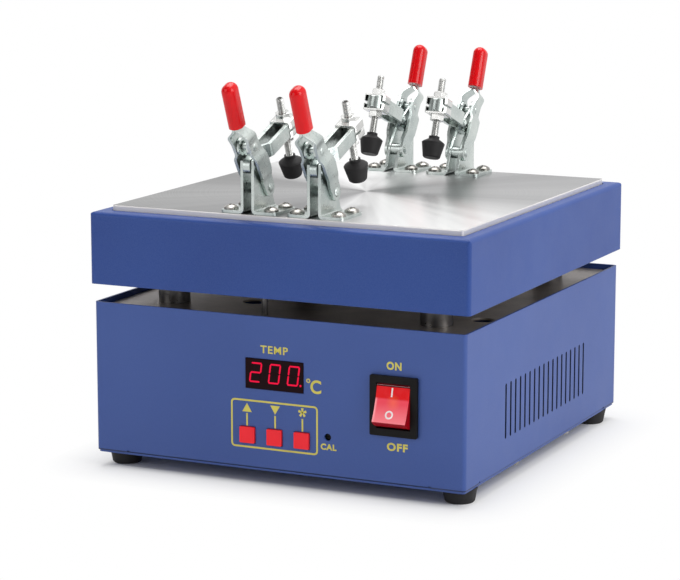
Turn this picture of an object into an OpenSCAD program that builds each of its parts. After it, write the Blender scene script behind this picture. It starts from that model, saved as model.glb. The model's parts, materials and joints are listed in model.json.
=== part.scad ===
// Heated plate on a two-storey steel housing, with four vertical toggle clamps that hold a
// screen flat on the plate. X runs to the right along the front, Y to the back and Z up.
// The origin lies on the table, under the middle of the housing. Sizes are in millimetres.

/* [Lower housing] */
// Width of the lower housing
base_w = 212; // [190:1:230]
// Depth of the lower housing
base_d = 224; // [205:1:245]
// Height of the lower housing's walls
base_h = 80; // [74:1:100]
// Radius of the lower housing's upright corners
base_corner_r = 2; // [1.5:0.5:5]
// Thickness of the sheet steel
sheet_t = 1.2; // [1:0.1:1.6]
// Width of the lips turned in along the walls
lip_w = 7; // [6:0.5:7.5]
// Drop of the deck below the walls' top edge
deck_drop = 3; // [2:0.5:8]
// Depth of the deck's turned-down rim
deck_rim_h = 10; // [6:1:16]
// Open height between the two housings
air_gap = 9.5; // [7:0.5:20]
// Radius of a spacer between the housings
standoff_r = 8.5; // [6:0.5:11]
// Distance between the spacers, side to side
standoff_span_x = 152; // [120:1:170]
// Distance between the spacers, front to back
standoff_span_y = 158; // [120:1:176]

/* [Feet] */
// Height of a rubber foot
foot_h = 8; // [6:0.5:15]
// Radius of a foot at its top
foot_r = 9.2; // [8:0.1:11]
// Radius of a foot at its tread
foot_tread_r = 7.8; // [6.5:0.1:8]
// Distance of a foot's middle from the housing's side
foot_inset_x = 9.3; // [9.3:0.1:20]
// Distance of a foot's middle from the housing's front or back
foot_inset_y = 15.8; // [12:0.1:40]

/* [Upper housing] */
// Width of the upper housing
upper_w = 216; // [208:1:230]
// Depth of the upper housing
upper_d = 225; // [214:1:240]
// Height of the upper housing
upper_h = 38.2; // [32:0.2:60]
// Bend radius along the upper housing's top edges
upper_bend_r = 2.4; // [2:0.2:5]

/* [Heating plate] */
// Width of the heating plate
plate_w = 200; // [180:1:204]
// Depth of the heating plate
plate_d = 205.5; // [204:0.5:210]
// Thickness of the heating plate
plate_t = 10; // [8:0.5:14]
// Height of the plate's face above the upper housing
plate_proud = 2.8; // [1.5:0.1:6]
// Radius of the plate's upright corners
plate_corner_r = 2; // [1:0.5:5]
// Width of the chamfer round the plate's face
plate_edge = 0.5; // [0.3:0.1:1]
// Gap between the plate and the upper housing
plate_gap = 0.6; // [0.4:0.1:1.5]

/* [Control panel] */
// Width of the display window
display_w = 33; // [28:0.5:40]
// Height of the display window
display_h = 15.8; // [12:0.2:18]
// Height of the display's middle above the panel's lower edge
display_z = 49.9; // [46:0.1:56]
// Distance between the push buttons
button_pitch = 15.6; // [13:0.1:20]
// Width of a push button
button_w = 8.4; // [7:0.2:10]
// Height of a push button
button_h = 8.4; // [7:0.2:10]
// Height of the buttons' middle above the panel's lower edge
button_z = 17.2; // [15:0.1:22]
// Travel of a push button
button_travel = 0.7; // [0.4:0.1:1]
// Sideways place of the trimmer
trimmer_x = 30.2; // [29:0.1:36]
// Height of the trimmer's middle above the panel's lower edge
trimmer_z = 20.5; // [16:0.1:26]
// Sideways place of the power switch
switch_x = 67.5; // [58:0.1:80]
// Height of the switch's middle above the panel's lower edge
switch_z = 40.4; // [30:0.1:50]
// Width of the switch's frame
switch_w = 26; // [25:0.5:30]
// Height of the switch's frame
switch_h = 31; // [30:0.5:36]
// Number of vent slots in each side wall
vent_count = 18; // [6:1:22]
// Distance between vent slots
vent_pitch = 6.8; // [5:0.1:8]
// Width of a vent slot
vent_w = 2; // [1.5:0.1:3]
// Length of a vent slot
vent_h = 29.3; // [15:0.1:40]
// Height of the slots' middle above the wall's lower edge
vent_z = 30.2; // [28:0.1:40]

/* [Clamp bases] */
// Distance between the two clamps of a pair
clamp_spacing = 38; // [36:0.5:60]
// Place of each pair's middle, to the right of the plate's
clamp_shift = -1.4; // [-10:0.1:10]
// Distance of a clamp's ears from the plate's front or back edge
clamp_inset = 1.25; // [0.75:0.05:8]
// Thickness of a clamp's steel base
ear_t = 1.6; // [1.4:0.1:1.7]
// Space between a base's two ears
ear_gap = 4.6; // [4.5:0.1:4.7]
// Width of a base over its two flanges
flange_w = 32; // [31:0.5:35]
// Length of a base's flange
flange_d = 25; // [24:0.5:28]
// Distance between a base's screws, side to side
clamp_screw_x = 23.2; // [23:0.2:26]
// Distance between a base's screws, front to back
clamp_screw_y = 16; // [12:0.5:17]
// Radius of a rivet's shank
rivet_r = 1.6; // [1.4:0.05:1.8]
// Radius of a rivet's head
rivet_head_r = 2.6; // [2.4:0.1:2.9]
// Distance of the arm's pivot from the ears' outer edge
arm_pivot_y = 2.6; // [2.4:0.1:3]
// Height of the arm's pivot above the plate
arm_pivot_z = 24.9; // [24.7:0.1:26]
// Distance of the handle's pivot from the ears' outer edge
handle_pivot_y = 15.6; // [15:0.1:16]
// Height of the handle's pivot above the plate
handle_pivot_z = 12.2; // [11.8:0.1:12.4]

/* [Clamp arms] */
// Angle of the arm above level, as the clamp stands half open
arm_tilt = 20.5; // [17:0.5:23]
// Height of the arm's bar
bar_h = 7.4; // [7:0.1:9]
// Thickness of the strip that the arm is folded from
bar_t = 2; // [1.8:0.1:2.1]
// Width of the slot in the bar
slot_w = 6.5; // [6:0.1:7]
// Distance from the arm's pivot to the spindle
spindle_reach = 43.4; // [40:0.2:50]
// Radius of the spindle
spindle_r = 2; // [1.8:0.1:2.5]
// Length of the spindle above the middle of the bar
spindle_up = 16.2; // [13:0.2:24]
// Length of the spindle below the middle of the bar
spindle_down = 21.3; // [20:0.1:22]
// Height of the rubber tip
tip_h = 12.3; // [11:0.1:13]
// Radius of the rubber tip at its shoulder
tip_r = 6.5; // [6:0.1:7.5]
// Radius of the rubber tip at its face
tip_face_r = 4.6; // [4:0.1:5.5]

/* [Clamp handles] */
// Angle of the handle from upright, as the clamp stands half open
handle_tilt = 22.4; // [20:0.2:26]
// Thickness of a handle plate
handle_t = 1.5; // [1.3:0.1:1.6]
// Length of the handle from its pivot to the grip's lower end
handle_neck = 42; // [40:0.1:44]
// Length of the grip
grip_l = 24; // [20:0.5:40]
// Width of the grip across the handle plates' edges
grip_w = 10; // [9:0.1:11]
// Thickness of the grip
grip_t = 7.8; // [7:0.1:8.5]
// Thickness of a link plate
link_t = 1.2; // [1:0.1:1.3]

/* [Hidden] */
$fn = 48;
overrun = 1; // how far a cut runs past what it cuts
snug = 0.05; // gap of a pin in its bore, and of pieces that are pressed together
slip = 0.15; // gap beside faces that slide past each other
loose = 0.3; // gap round pieces that are set in a cut-out

// Levels
base_z = foot_h + sheet_t;
base_top = base_z + base_h;
deck_top = base_top - deck_drop;
upper_z = base_top + air_gap;
upper_top = upper_z + upper_h;
floor_z = upper_z + sheet_t;
plate_top = upper_top + plate_proud;
plate_under = plate_top - plate_t;
panel_y = -base_d/2;
panel_back = panel_y + sheet_t;

clamp_names = ["front_left", "front_right", "rear_left", "rear_right"];
clamp_parts = ["base", "arm", "spindle", "nuts", "tip", "handle", "grip", "link"];

// Colours
blue = [0.25, 0.36, 0.63];
zinc = [0.72, 0.76, 0.75];
alloy = [0.78, 0.78, 0.78];
dark = [0.12, 0.12, 0.13];
vinyl_red = [0.83, 0.12, 0.16];
board_green = [0.10, 0.32, 0.20];

// Outlines and plain solids

module rounded_rect(w, d, r) {
  square([w - 2*r, d], center = true);
  square([w, d - 2*r], center = true);
  for (x = [-1, 1], y = [-1, 1]) translate([x*(w/2 - r), y*(d/2 - r)]) circle(r);
}

// Rectangle standing on the X axis with its two upper corners rounded
module round_topped(w, h, r) {
  translate([-w/2, 0]) square([w, h - r]);
  translate([-w/2 + r, 0]) square([w - 2*r, h]);
  for (x = [-1, 1]) translate([x*(w/2 - r), h - r]) circle(r);
}

// Box on the XY plane, with upright corners of radius r and top edges bent at radius bend
module bent_box(w, d, h, r, bend) {
  intersection() {
    linear_extrude(h) rounded_rect(w, d, r);
    rotate([90, 0, 0]) linear_extrude(d + 2*overrun, center = true) round_topped(w, h, bend);
    rotate([90, 0, 90]) linear_extrude(w + 2*overrun, center = true) round_topped(d, h, bend);
  }
}

// Extrudes an outline drawn as (y, z) to both sides along X
module side_slab(w) {
  rotate([90, 0, 90]) linear_extrude(w, center = true) children();
}

// Extrudes an outline drawn as (x, z) backwards from Y = 0
module panel_slab(depth) {
  translate([0, depth, 0]) rotate([90, 0, 0]) linear_extrude(depth) children();
}

module both_sides() {
  children();
  mirror([1, 0, 0]) children();
}

function along(p, r, a) = [p[0] + r*cos(a), p[1] + r*sin(a)];

// Two discs joined by their outer tangents
module lobe(p, r, q, s) {
  a = atan2(q[1] - p[1], q[0] - p[0]);
  b = acos((r - s)/norm(q - p));
  translate(p) circle(r);
  translate(q) circle(s);
  polygon([along(p, r, a + b), along(q, s, a + b), along(q, s, a - b), along(p, r, a - b)]);
}

// Shallow dome on the XY plane
module dome(r, h) {
  ball_r = (r*r + h*h)/(2*h);
  intersection() {
    translate([0, 0, h - ball_r]) sphere(ball_r);
    cylinder(r = r, h = h);
  }
}

module at_corners(x, y) {
  for (i = [-1, 1], j = [-1, 1]) translate([i*x/2, j*y/2, 0]) children();
}

module tube(r, bore, h) {
  difference() {
    cylinder(r = r, h = h);
    translate([0, 0, -overrun]) cylinder(r = bore, h = h + 2*overrun);
  }
}

// Lower housing

foot_x = base_w - 2*foot_inset_x;
foot_y = base_d - 2*foot_inset_y;
screw_r = 1.5;
screw_head_r = 2.9;
screw_head_h = 2.1;
foot_well_r = 4;
foot_well_h = 4;
window_flange = 2;
gland_inset = 28;
gland_x = gland_inset - base_w/2;
gland_z = 26;
gland_thread_r = 7.8;
bezel_over = 2;
switch_cut_w = switch_w - 2*bezel_over;
switch_cut_h = switch_h - 2*bezel_over;
trimmer_hole_r = 1.9;
seam_h = 0.5;
seam_depth = 0.8;
seam_end = 19.2;
notch_w = 1.4;
notch_h = 1.1;
lip_screw_x = base_w - lip_w;
lip_screw_y = base_d/3;

module vents() {
  for (i = [0 : vent_count - 1])
    translate([0, (i - (vent_count - 1)/2)*vent_pitch, base_z + vent_z]) side_slab(base_w + 2*overrun) {
      square([vent_w, vent_h - vent_w], center = true);
      for (s = [-1, 1]) translate([0, s*(vent_h - vent_w)/2]) circle(vent_w/2);
    }
}

module panel_cuts() {
  translate([0, panel_y - overrun, base_z]) panel_slab(sheet_t + 2*overrun) {
    translate([0, display_z]) square([display_w + loose, display_h + loose], center = true);
    for (i = [-1 : 1]) translate([i*button_pitch, button_z])
      rounded_rect(button_w + 2*loose, button_h + 2*loose, button_corner_r);
    translate([trimmer_x, trimmer_z]) circle(trimmer_hole_r);
    translate([switch_x, switch_z]) square([switch_cut_w + loose, switch_cut_h + loose], center = true);
  }
}

module base_shell() {
  color(blue) difference() {
    translate([0, 0, base_z]) linear_extrude(base_h) rounded_rect(base_w, base_d, base_corner_r);
    translate([0, 0, base_z + sheet_t]) linear_extrude(base_h)
      rounded_rect(base_w - 2*sheet_t, base_d - 2*sheet_t, base_corner_r - sheet_t);
    translate([0, 0, base_z - overrun]) linear_extrude(base_h)
      rounded_rect(base_w - 2*lip_w, base_d - 2*lip_w, base_corner_r);
    vents();
    panel_cuts();
    translate([gland_x, base_d/2 + overrun, base_z + gland_z]) rotate([90, 0, 0])
      cylinder(r = gland_thread_r + snug, h = sheet_t + 2*overrun);
    translate([0, 0, base_z - overrun]) lip_holes();
    for (i = [-1, 1]) {
      translate([0, i*base_d/2, base_z]) seam(base_w - 2*seam_end);
      translate([i*base_w/2, 0, base_z]) rotate(90) seam(base_d - 2*seam_end);
    }
  }
}

// Shadow gap under a wall's lower edge, with a relief notch at each end
module seam(l) {
  cube([l, 2*seam_depth, 2*seam_h], center = true);
  for (i = [-1, 1]) translate([i*l/2, 0, 0]) cube([notch_w, 2*seam_depth, 2*notch_h], center = true);
}

module lip_holes() {
  at_corners(lip_screw_x, lip_screw_y) cylinder(r = screw_r + snug, h = sheet_t + 2*overrun);
}

module bottom_plate() {
  color(blue) difference() {
    translate([0, 0, foot_h]) linear_extrude(sheet_t) rounded_rect(base_w - sheet_t, base_d - sheet_t, base_corner_r);
    translate([0, 0, foot_h - overrun]) {
      lip_holes();
      at_corners(foot_x, foot_y) cylinder(r = screw_r + snug, h = sheet_t + 2*overrun);
    }
  }
}

wire_hole_r = 7;
wire_hole_x = -36;
wire_hole_in = 50;
side_hole_r = 6;
side_hole_side = 13;
side_hole_in = 54;
stay_r = 1.7;
stay_x = -15;
stay_in = 19;

module deck_plate() {
  w = base_w - 2*sheet_t - 2*slip;
  d = base_d - 2*sheet_t - 2*slip;
  color(zinc) difference() {
    translate([0, 0, deck_top - deck_rim_h]) linear_extrude(deck_rim_h) rounded_rect(w, d, base_corner_r);
    translate([0, 0, deck_top - deck_rim_h - overrun]) linear_extrude(deck_rim_h + overrun - sheet_t)
      rounded_rect(w - 2*sheet_t, d - 2*sheet_t, base_corner_r);
    translate([wire_hole_x, wire_hole_in - base_d/2]) cylinder(r = wire_hole_r, h = deck_top + overrun);
    translate([base_w/2 - side_hole_side, side_hole_in - base_d/2]) cylinder(r = side_hole_r, h = deck_top + overrun);
  }
}

module rubber_feet() {
  tread_edge = 0.8;
  color(dark) at_corners(foot_x, foot_y) rotate_extrude() polygon([
    [foot_well_r, 0], [foot_tread_r - tread_edge, 0], [foot_tread_r, tread_edge],
    [foot_r, foot_h], [screw_r + snug, foot_h], [screw_r + snug, foot_well_h], [foot_well_r, foot_well_h]]);
}

// Pan-head screw with its head's underside on the XY plane, and its shank below
module pan_screw(r, head_r, head_h, shank_l) {
  slot_share = 0.22;
  difference() {
    union() {
      cylinder(r = head_r, h = head_h*0.4);
      translate([0, 0, head_h*0.4]) dome(head_r, head_h*0.6);
      translate([0, 0, -shank_l]) cylinder(r = r, h = shank_l);
    }
    for (a = [0, 90]) rotate(a) translate([0, 0, head_h])
      cube([head_r*1.1, head_r*slot_share, head_h], center = true);
  }
}

module case_screws() {
  color(zinc) {
    at_corners(foot_x, foot_y) translate([0, 0, foot_well_h]) mirror([0, 0, 1])
      pan_screw(screw_r, screw_head_r, screw_head_h, base_z + sheet_t - foot_well_h);
    at_corners(lip_screw_x, lip_screw_y) translate([0, 0, foot_h]) mirror([0, 0, 1])
      pan_screw(screw_r, screw_head_r, screw_head_h, 4*sheet_t);
  }
}

module standoffs() {
  chamfer = 0.6;
  color(zinc) at_corners(standoff_span_x, standoff_span_y) translate([0, 0, deck_top]) rotate_extrude()
    polygon([[0, 0], [standoff_r, 0], [standoff_r, floor_z - deck_top - chamfer],
      [standoff_r - chamfer, floor_z - deck_top], [0, floor_z - deck_top]]);
  color(zinc) translate([stay_x, stay_in - base_d/2, deck_top]) cylinder(r = stay_r, h = floor_z - deck_top);
}

// Upper housing and heating plate

post_r = 5;
post_inset = 18;
post_x = plate_w - 2*post_inset;
post_y = plate_d - 2*post_inset;
heater_t = 3;
heater_gap = 3;
heater_w = post_x - 2*post_r - 2*heater_gap;
heater_d = post_y - 2*post_r - 2*heater_gap;

module upper_shell() {
  color(blue) difference() {
    translate([0, 0, upper_z]) bent_box(upper_w, upper_d, upper_h, base_corner_r, upper_bend_r);
    translate([0, 0, floor_z]) bent_box(upper_w - 2*sheet_t, upper_d - 2*sheet_t, upper_h - 2*sheet_t,
      base_corner_r - sheet_t, upper_bend_r - sheet_t);
    translate([0, 0, upper_z - overrun]) linear_extrude(upper_h)
      rounded_rect(upper_w - 2*lip_w, upper_d - 2*lip_w, base_corner_r);
    translate([0, 0, upper_z + upper_h/2]) linear_extrude(upper_h)
      rounded_rect(plate_w + 2*plate_gap, plate_d + 2*plate_gap, plate_corner_r);
  }
}

module upper_floor() {
  color(zinc) translate([0, 0, floor_z]) linear_extrude(sheet_t)
    rounded_rect(upper_w - 2*sheet_t - 2*slip, upper_d - 2*sheet_t - 2*slip, base_corner_r);
}

module heating_plate() {
  color(alloy) difference() {
    intersection() {
      translate([0, 0, plate_under]) linear_extrude(plate_t) rounded_rect(plate_w, plate_d, plate_corner_r);
      translate([0, 0, plate_under]) rotate([90, 0, 0]) linear_extrude(plate_d, center = true) chamfered(plate_w);
      translate([0, 0, plate_under]) rotate([90, 0, 90]) linear_extrude(plate_w, center = true) chamfered(plate_d);
    }
    for (i = [0 : 3]) at_clamp(i) clamp_screw_places() translate([0, 0, -clamp_screw_l - overrun])
      cylinder(r = clamp_screw_r + snug, h = clamp_screw_l + 2*overrun);
    translate([0, probe_y, plate_under - overrun]) cylinder(r = probe_r + snug, h = probe_in + overrun);
  }
}

module chamfered(w) {
  polygon([[-w/2, 0], [w/2, 0], [w/2, plate_t - plate_edge], [w/2 - plate_edge, plate_t],
    [-w/2 + plate_edge, plate_t], [-w/2, plate_t - plate_edge]]);
}

module plate_posts() {
  h = plate_under - floor_z - sheet_t;
  color(alloy) at_corners(post_x, post_y) translate([0, 0, floor_z + sheet_t]) cylinder(r = post_r, h = h);
}

module heater_element() {
  color([0.45, 0.40, 0.33]) translate([-heater_w/2, -heater_d/2, plate_under - heater_t])
    cube([heater_w, heater_d, heater_t]);
}

module insulation_board() {
  low = floor_z + sheet_t;
  color([0.86, 0.84, 0.78]) translate([-heater_w/2, -heater_d/2, low])
    cube([heater_w, heater_d, plate_under - heater_t - low]);
}

probe_r = 3;
probe_in = 6;
probe_y = heater_d/2 + 8;
probe_hex_r = 5;

module thermocouple() {
  body_l = 8;
  color(zinc) translate([0, probe_y, plate_under]) {
    translate([0, 0, -body_l]) cylinder(r = probe_r, h = body_l + probe_in);
    translate([0, 0, -probe_hex_r]) cylinder(r = probe_hex_r, h = probe_hex_r, $fn = 6);
  }
}

// Control panel

button_corner_r = 0.5;
button_proud = 1.2;
button_flange_t = 1;
button_flange = 0.9;
button_stem_l = 4;
button_stem_r = 1.5;
tact_w = 6;
tact_h = 2.4;
pcb_t = 1.6;
board_y = panel_back + button_flange_t + button_stem_l + button_travel + 2*slip + tact_h;

module display_window() {
  lens_t = sheet_t + 2*slip;
  color([0.20, 0.03, 0.05]) translate([0, panel_back, base_z + display_z]) {
    translate([0, -lens_t, 0]) panel_slab(lens_t) square([display_w, display_h], center = true);
    panel_slab(window_flange) square([display_w + 2*window_flange, display_h + 2*window_flange], center = true);
  }
}

module display_module() {
  digit_block_t = 7;
  board_margin = 5;
  color(dark) translate([0, panel_back + window_flange, base_z + display_z]) {
    panel_slab(digit_block_t) square([display_w, display_h], center = true);
    translate([0, digit_block_t, 0]) panel_slab(pcb_t)
      square([display_w + 2*board_margin, display_h + 2*board_margin], center = true);
  }
}

module push_button() {
  color(vinyl_red) translate([0, 0, base_z + button_z]) {
    translate([0, panel_y - button_proud, 0]) panel_slab(button_proud + sheet_t + slip + button_flange_t)
      rounded_rect(button_w, button_h, button_corner_r);
    translate([0, panel_back + slip, 0]) panel_slab(button_flange_t)
      rounded_rect(button_w + 2*button_flange, button_h + 2*button_flange, button_corner_r);
    translate([0, panel_back + slip + button_flange_t, 0]) rotate([-90, 0, 0])
      cylinder(r = button_stem_r, h = button_stem_l);
  }
}

module up_button() { translate([-button_pitch, 0, 0]) push_button(); }
module down_button() { push_button(); }
module set_button() { translate([button_pitch, 0, 0]) push_button(); }

trimmer_box_w = 8;
trimmer_box_l = 5;
trimmer_well = 2;
trimmer_collar_r = 3;
trimmer_rotor_r = 1.5;

module button_board() {
  pillar_r = 1.8;
  margin = 2;
  left = button_pitch + tact_w/2 + margin;
  right = trimmer_x + trimmer_box_w/2 + margin;
  d = button_h + 4*button_flange;
  color(board_green) translate([0, 0, base_z + button_z]) {
    translate([-left, board_y, -d/2]) cube([left + right, pcb_t, d]);
    for (i = [-1 : 1]) translate([i*button_pitch, board_y - tact_h, 0]) panel_slab(tact_h)
      square(tact_w, center = true);
    for (i = [-1, 1]) translate([i*button_pitch/2, panel_back, 0]) rotate([-90, 0, 0])
      cylinder(r = pillar_r, h = board_y - panel_back);
  }
  color(board_green) at_trimmer() difference() {
    translate([0, board_y - trimmer_box_l, 0]) panel_slab(trimmer_box_l) square(trimmer_box_w, center = true);
    translate([0, board_y - trimmer_box_l - overrun, 0]) rotate([-90, 0, 0])
      cylinder(r = trimmer_collar_r + snug, h = trimmer_well + overrun);
  }
}

module at_trimmer() {
  translate([trimmer_x, 0, base_z + trimmer_z]) children();
}

module calibration_trimmer() {
  collar_l = 2*trimmer_well;
  slot_t = 0.5;
  slot_depth = 0.8;
  front = panel_back + slip;
  back = board_y - trimmer_box_l + trimmer_well - snug;
  color(dark) at_trimmer() translate([0, back, 0]) rotate([90, 0, 0]) difference() {
    union() {
      cylinder(r = trimmer_rotor_r, h = back - front);
      cylinder(r = trimmer_collar_r, h = min(collar_l, (back - front)/2));
    }
    translate([0, 0, back - front]) cube([2*trimmer_rotor_r + overrun, slot_t, 2*slot_depth], center = true);
  }
}

// Power switch

bezel_proud = 2;
bezel_rim = 3.75;
bezel_corner_r = 0.8;
switch_depth = 20;
rocker_axis_in = 0.2;
rocker_w = switch_w - 2*bezel_rim;
rocker_h = switch_h - 2*bezel_rim;
rocker_swing = 40;
rocker_face = 5.2;
rocker_dish_r = 60;
rocker_back = 4;
rocker_gap = 0.85;
rocker_pin_r = 1.5;
rocker_pin_l = 0.8;
rocker_r = rocker_h/2 - rocker_gap;
well_depth = 13;

// Brings children from the switch's own frame, with Y = 0 on the panel's face, to its place
module at_switch() {
  translate([switch_x, panel_y, base_z + switch_z]) children();
}

module switch_bezel() {
  color(dark) at_switch() difference() {
    union() {
      translate([0, -bezel_proud, 0]) panel_slab(bezel_proud) rounded_rect(switch_w, switch_h, bezel_corner_r);
      panel_slab(switch_depth) square([switch_cut_w, switch_cut_h], center = true);
    }
    translate([0, -bezel_proud - overrun, 0]) panel_slab(bezel_proud + well_depth + overrun)
      square([rocker_w, rocker_h], center = true);
    translate([0, rocker_axis_in, 0]) rotate([0, 90, 0])
      cylinder(r = rocker_pin_r + snug, h = rocker_w + 2*rocker_pin_l + 2*slip, center = true);
  }
}

// The rocker's face is dished between its two lips, and its ends are round about its own axis
module power_rocker() {
  half_swing = rocker_swing/2;
  lip = sqrt(rocker_r*rocker_r - rocker_face*rocker_face);
  dish_y = -rocker_face - sqrt(rocker_dish_r*rocker_dish_r - lip*lip);
  color([0.80, 0.10, 0.16]) at_switch() translate([0, rocker_axis_in, 0]) rotate([-half_swing, 0, 0]) {
    difference() {
      rotate([0, 90, 0]) cylinder(r = rocker_r, h = rocker_w - 2*slip, center = true);
      translate([0, dish_y, 0]) rotate([0, 90, 0]) cylinder(r = rocker_dish_r, h = rocker_w, center = true);
      translate([-rocker_w/2, rocker_back, -rocker_h/2]) cube([rocker_w, rocker_r, rocker_h]);
    }
    rotate([0, 90, 0]) cylinder(r = rocker_pin_r, h = rocker_w + 2*rocker_pin_l, center = true);
  }
}

// Inside the lower housing

board_post_h = 8;
board_post_r = 3;
main_board_w = 110;
main_board_d = 80;
main_board_side = 21;
main_board_x = base_w/2 - main_board_side - main_board_w/2;
main_board_y = 20;

module main_board() {
  relay_w = 20;
  relay_d = 16;
  relay_h = 16;
  terminal_w = 50;
  terminal_d = 11;
  terminal_h = 14;
  low = foot_h + sheet_t;
  color(board_green) translate([main_board_x, main_board_y, low]) {
    at_corners(main_board_w - 4*board_post_r, main_board_d - 4*board_post_r)
      cylinder(r = board_post_r, h = board_post_h);
    translate([-main_board_w/2, -main_board_d/2, board_post_h]) cube([main_board_w, main_board_d, pcb_t]);
    translate([-terminal_w/2, main_board_d/2 - terminal_d - board_post_r, board_post_h + pcb_t])
      cube([terminal_w, terminal_d, terminal_h]);
    translate([-relay_w, -relay_d/2, board_post_h + pcb_t]) cube([relay_w, relay_d, relay_h]);
  }
}

module transformer() {
  core_w = 48;
  core_d = 26;
  core_h = 40;
  bobbin_w = 34;
  bobbin_d = 38;
  bobbin_h = 28;
  tab_w = 62;
  tab_t = 2;
  side_gap = 9;
  color(dark) translate([side_gap + tab_w/2 - base_w/2, -base_d/6, foot_h + sheet_t]) {
    translate([-core_w/2, -core_d/2, 0]) cube([core_w, core_d, core_h]);
    translate([-bobbin_w/2, -bobbin_d/2, (core_h - bobbin_h)/2]) cube([bobbin_w, bobbin_d, bobbin_h]);
    translate([-tab_w/2, -core_d/2, 0]) cube([tab_w, core_d, tab_t]);
  }
}

module heatsink() {
  fins = 7;
  fin_t = 1.5;
  w = 60;
  h = 30;
  back_t = 3;
  fin_l = 16;
  color(alloy) translate([main_board_x - w/2, -main_board_d/2 - fin_l, foot_h + sheet_t]) {
    translate([0, fin_l, 0]) cube([w, back_t, h]);
    for (i = [0 : fins - 1]) translate([i*(w - fin_t)/(fins - 1), 0, 0]) cube([fin_t, fin_l + overrun, h]);
  }
}

gland_bore_r = 3.8;
gland_hex_r = 11;
gland_hex_h = 4;
gland_cap_r = 9;
gland_cap_h = 8;
gland_thread_l = 9;

module cord_gland() {
  nut_h = 4;
  crown = 1.5;
  color(dark) translate([gland_x, base_d/2, base_z + gland_z]) rotate([-90, 0, 0]) {
    difference() {
      union() {
        cylinder(r = gland_hex_r, h = gland_hex_h, $fn = 6);
        rotate_extrude() polygon([[0, 0], [gland_cap_r, 0], [gland_cap_r, gland_hex_h + gland_cap_h - crown],
          [gland_cap_r - crown, gland_hex_h + gland_cap_h], [0, gland_hex_h + gland_cap_h]]);
        translate([0, 0, -gland_thread_l]) cylinder(r = gland_thread_r, h = gland_thread_l);
      }
      translate([0, 0, -gland_thread_l - overrun])
        cylinder(r = gland_bore_r, h = gland_thread_l + gland_hex_h + gland_cap_h + 2*overrun);
    }
    translate([0, 0, -sheet_t - nut_h]) difference() {
      cylinder(r = gland_hex_r, h = nut_h, $fn = 6);
      translate([0, 0, -overrun]) cylinder(r = gland_thread_r + snug, h = nut_h + 2*overrun);
    }
  }
}

// Clamps. Each is drawn in its own frame: X across, Y inwards from the ears' outer edge,
// Z up from the heating plate's face.

clamp_screw_r = 1.9;
clamp_screw_l = 8;
clamp_head_r = 3.8;
clamp_head_h = 2.6;
ear_in = ear_gap/2;
ear_out = ear_in + ear_t;
arm_pivot = [arm_pivot_y, arm_pivot_z];
handle_pivot = [handle_pivot_y, handle_pivot_z];
ear_r = 3.7;
bend_r = 0.8;
head_h = 0.9;

clamp_reach = plate_d/2 - clamp_inset;

module at_clamp(i) {
  front = i < 2;
  side = i % 2 == 0 ? -1 : 1;
  translate([clamp_shift + side*clamp_spacing/2, front ? -clamp_reach : clamp_reach, plate_top])
    rotate(front ? 0 : 180) children();
}

module clamp_screw_places() {
  translate([0, flange_d/2, 0]) at_corners(clamp_screw_x, clamp_screw_y) children();
}

module clamp_screws() {
  color(zinc) for (i = [0 : 3]) at_clamp(i) clamp_screw_places() translate([0, 0, ear_t])
    pan_screw(clamp_screw_r, clamp_head_r, clamp_head_h, clamp_screw_l);
}

// Section of one angle plate, drawn as (x, z), with its bend at the ear's foot
module angle_section() {
  bend_x = ear_out + bend_r;
  bend_z = ear_t + bend_r;
  translate([bend_x, 0]) square([flange_w/2 - bend_x, ear_t]);
  translate([ear_in, bend_z]) square([ear_t, arm_pivot_z + ear_r]);
  translate([bend_x, bend_z]) intersection() {
    difference() {
      circle(ear_t + bend_r);
      circle(bend_r);
    }
    translate([-bend_z, -bend_z]) square(bend_z);
  }
}

module ear_outline() {
  intersection() {
    union() {
      lobe(arm_pivot, ear_r, handle_pivot, ear_r);
      polygon([[0, 0], [flange_d, 0], [handle_pivot_y + ear_r, handle_pivot_z], handle_pivot, arm_pivot,
        [0, arm_pivot_z]]);
    }
    square([flange_d, arm_pivot_z + ear_r]);
  }
}

module clamp_base() {
  corner_r = 2.5;
  color(zinc) both_sides() difference() {
    intersection() {
      panel_slab(flange_d) angle_section();
      union() {
        side_slab(flange_w) ear_outline();
        cube([flange_w/2, flange_d, ear_t + bend_r]);
      }
      translate([0, flange_d/2, 0]) linear_extrude(arm_pivot_z + ear_r) rounded_rect(flange_w, flange_d, corner_r);
    }
    for (p = [arm_pivot, handle_pivot]) on_axis(p) cylinder(r = rivet_r + snug, h = flange_w, center = true);
    clamp_screw_places() translate([0, 0, -overrun]) cylinder(r = clamp_screw_r + slip, h = ear_t + 2*overrun);
  }
}

// Stands children's Z axis along the clamp's X axis, at point p of its side view
module on_axis(p) {
  translate([0, p[0], p[1]]) rotate([0, 90, 0]) children();
}

module rivet(half_l, head_r = rivet_head_r, head_h = head_h) {
  cylinder(r = rivet_r, h = 2*half_l, center = true);
  for (s = [0, 1]) mirror([0, 0, s]) translate([0, 0, half_l]) dome(head_r, head_h);
}

module base_rivets() {
  roller_r = 3.3;
  color(zinc) for (i = [0 : 3]) at_clamp(i) {
    on_axis(arm_pivot) rivet(ear_out);
    on_axis(handle_pivot) {
      rivet(pin_x + handle_t + snug);
      cylinder(r = roller_r, h = ear_gap - 2*snug, center = true);
    }
  }
}

// Arm: a strip folded round its slot, both halves meeting between the ears

link_pin_y = 9.4;
link_pin_z = 0.45;
tail_r = 4;
eye_r = 4.4;
bar_lift = 1;
joggle_y = 13;
joggle_l = 5;
bar_round = 1.2;
slot_end = spindle_reach + 1;
bar_half = slot_w/2 + bar_t;
bar_end = slot_end + bar_half;
link_pin = [link_pin_y, link_pin_z];

// Brings children from the arm's own frame, with Y along the bar from the pivot, to its place
module at_arm() {
  translate([0, arm_pivot_y, arm_pivot_z]) rotate([arm_tilt, 0, 0]) children();
}

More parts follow.
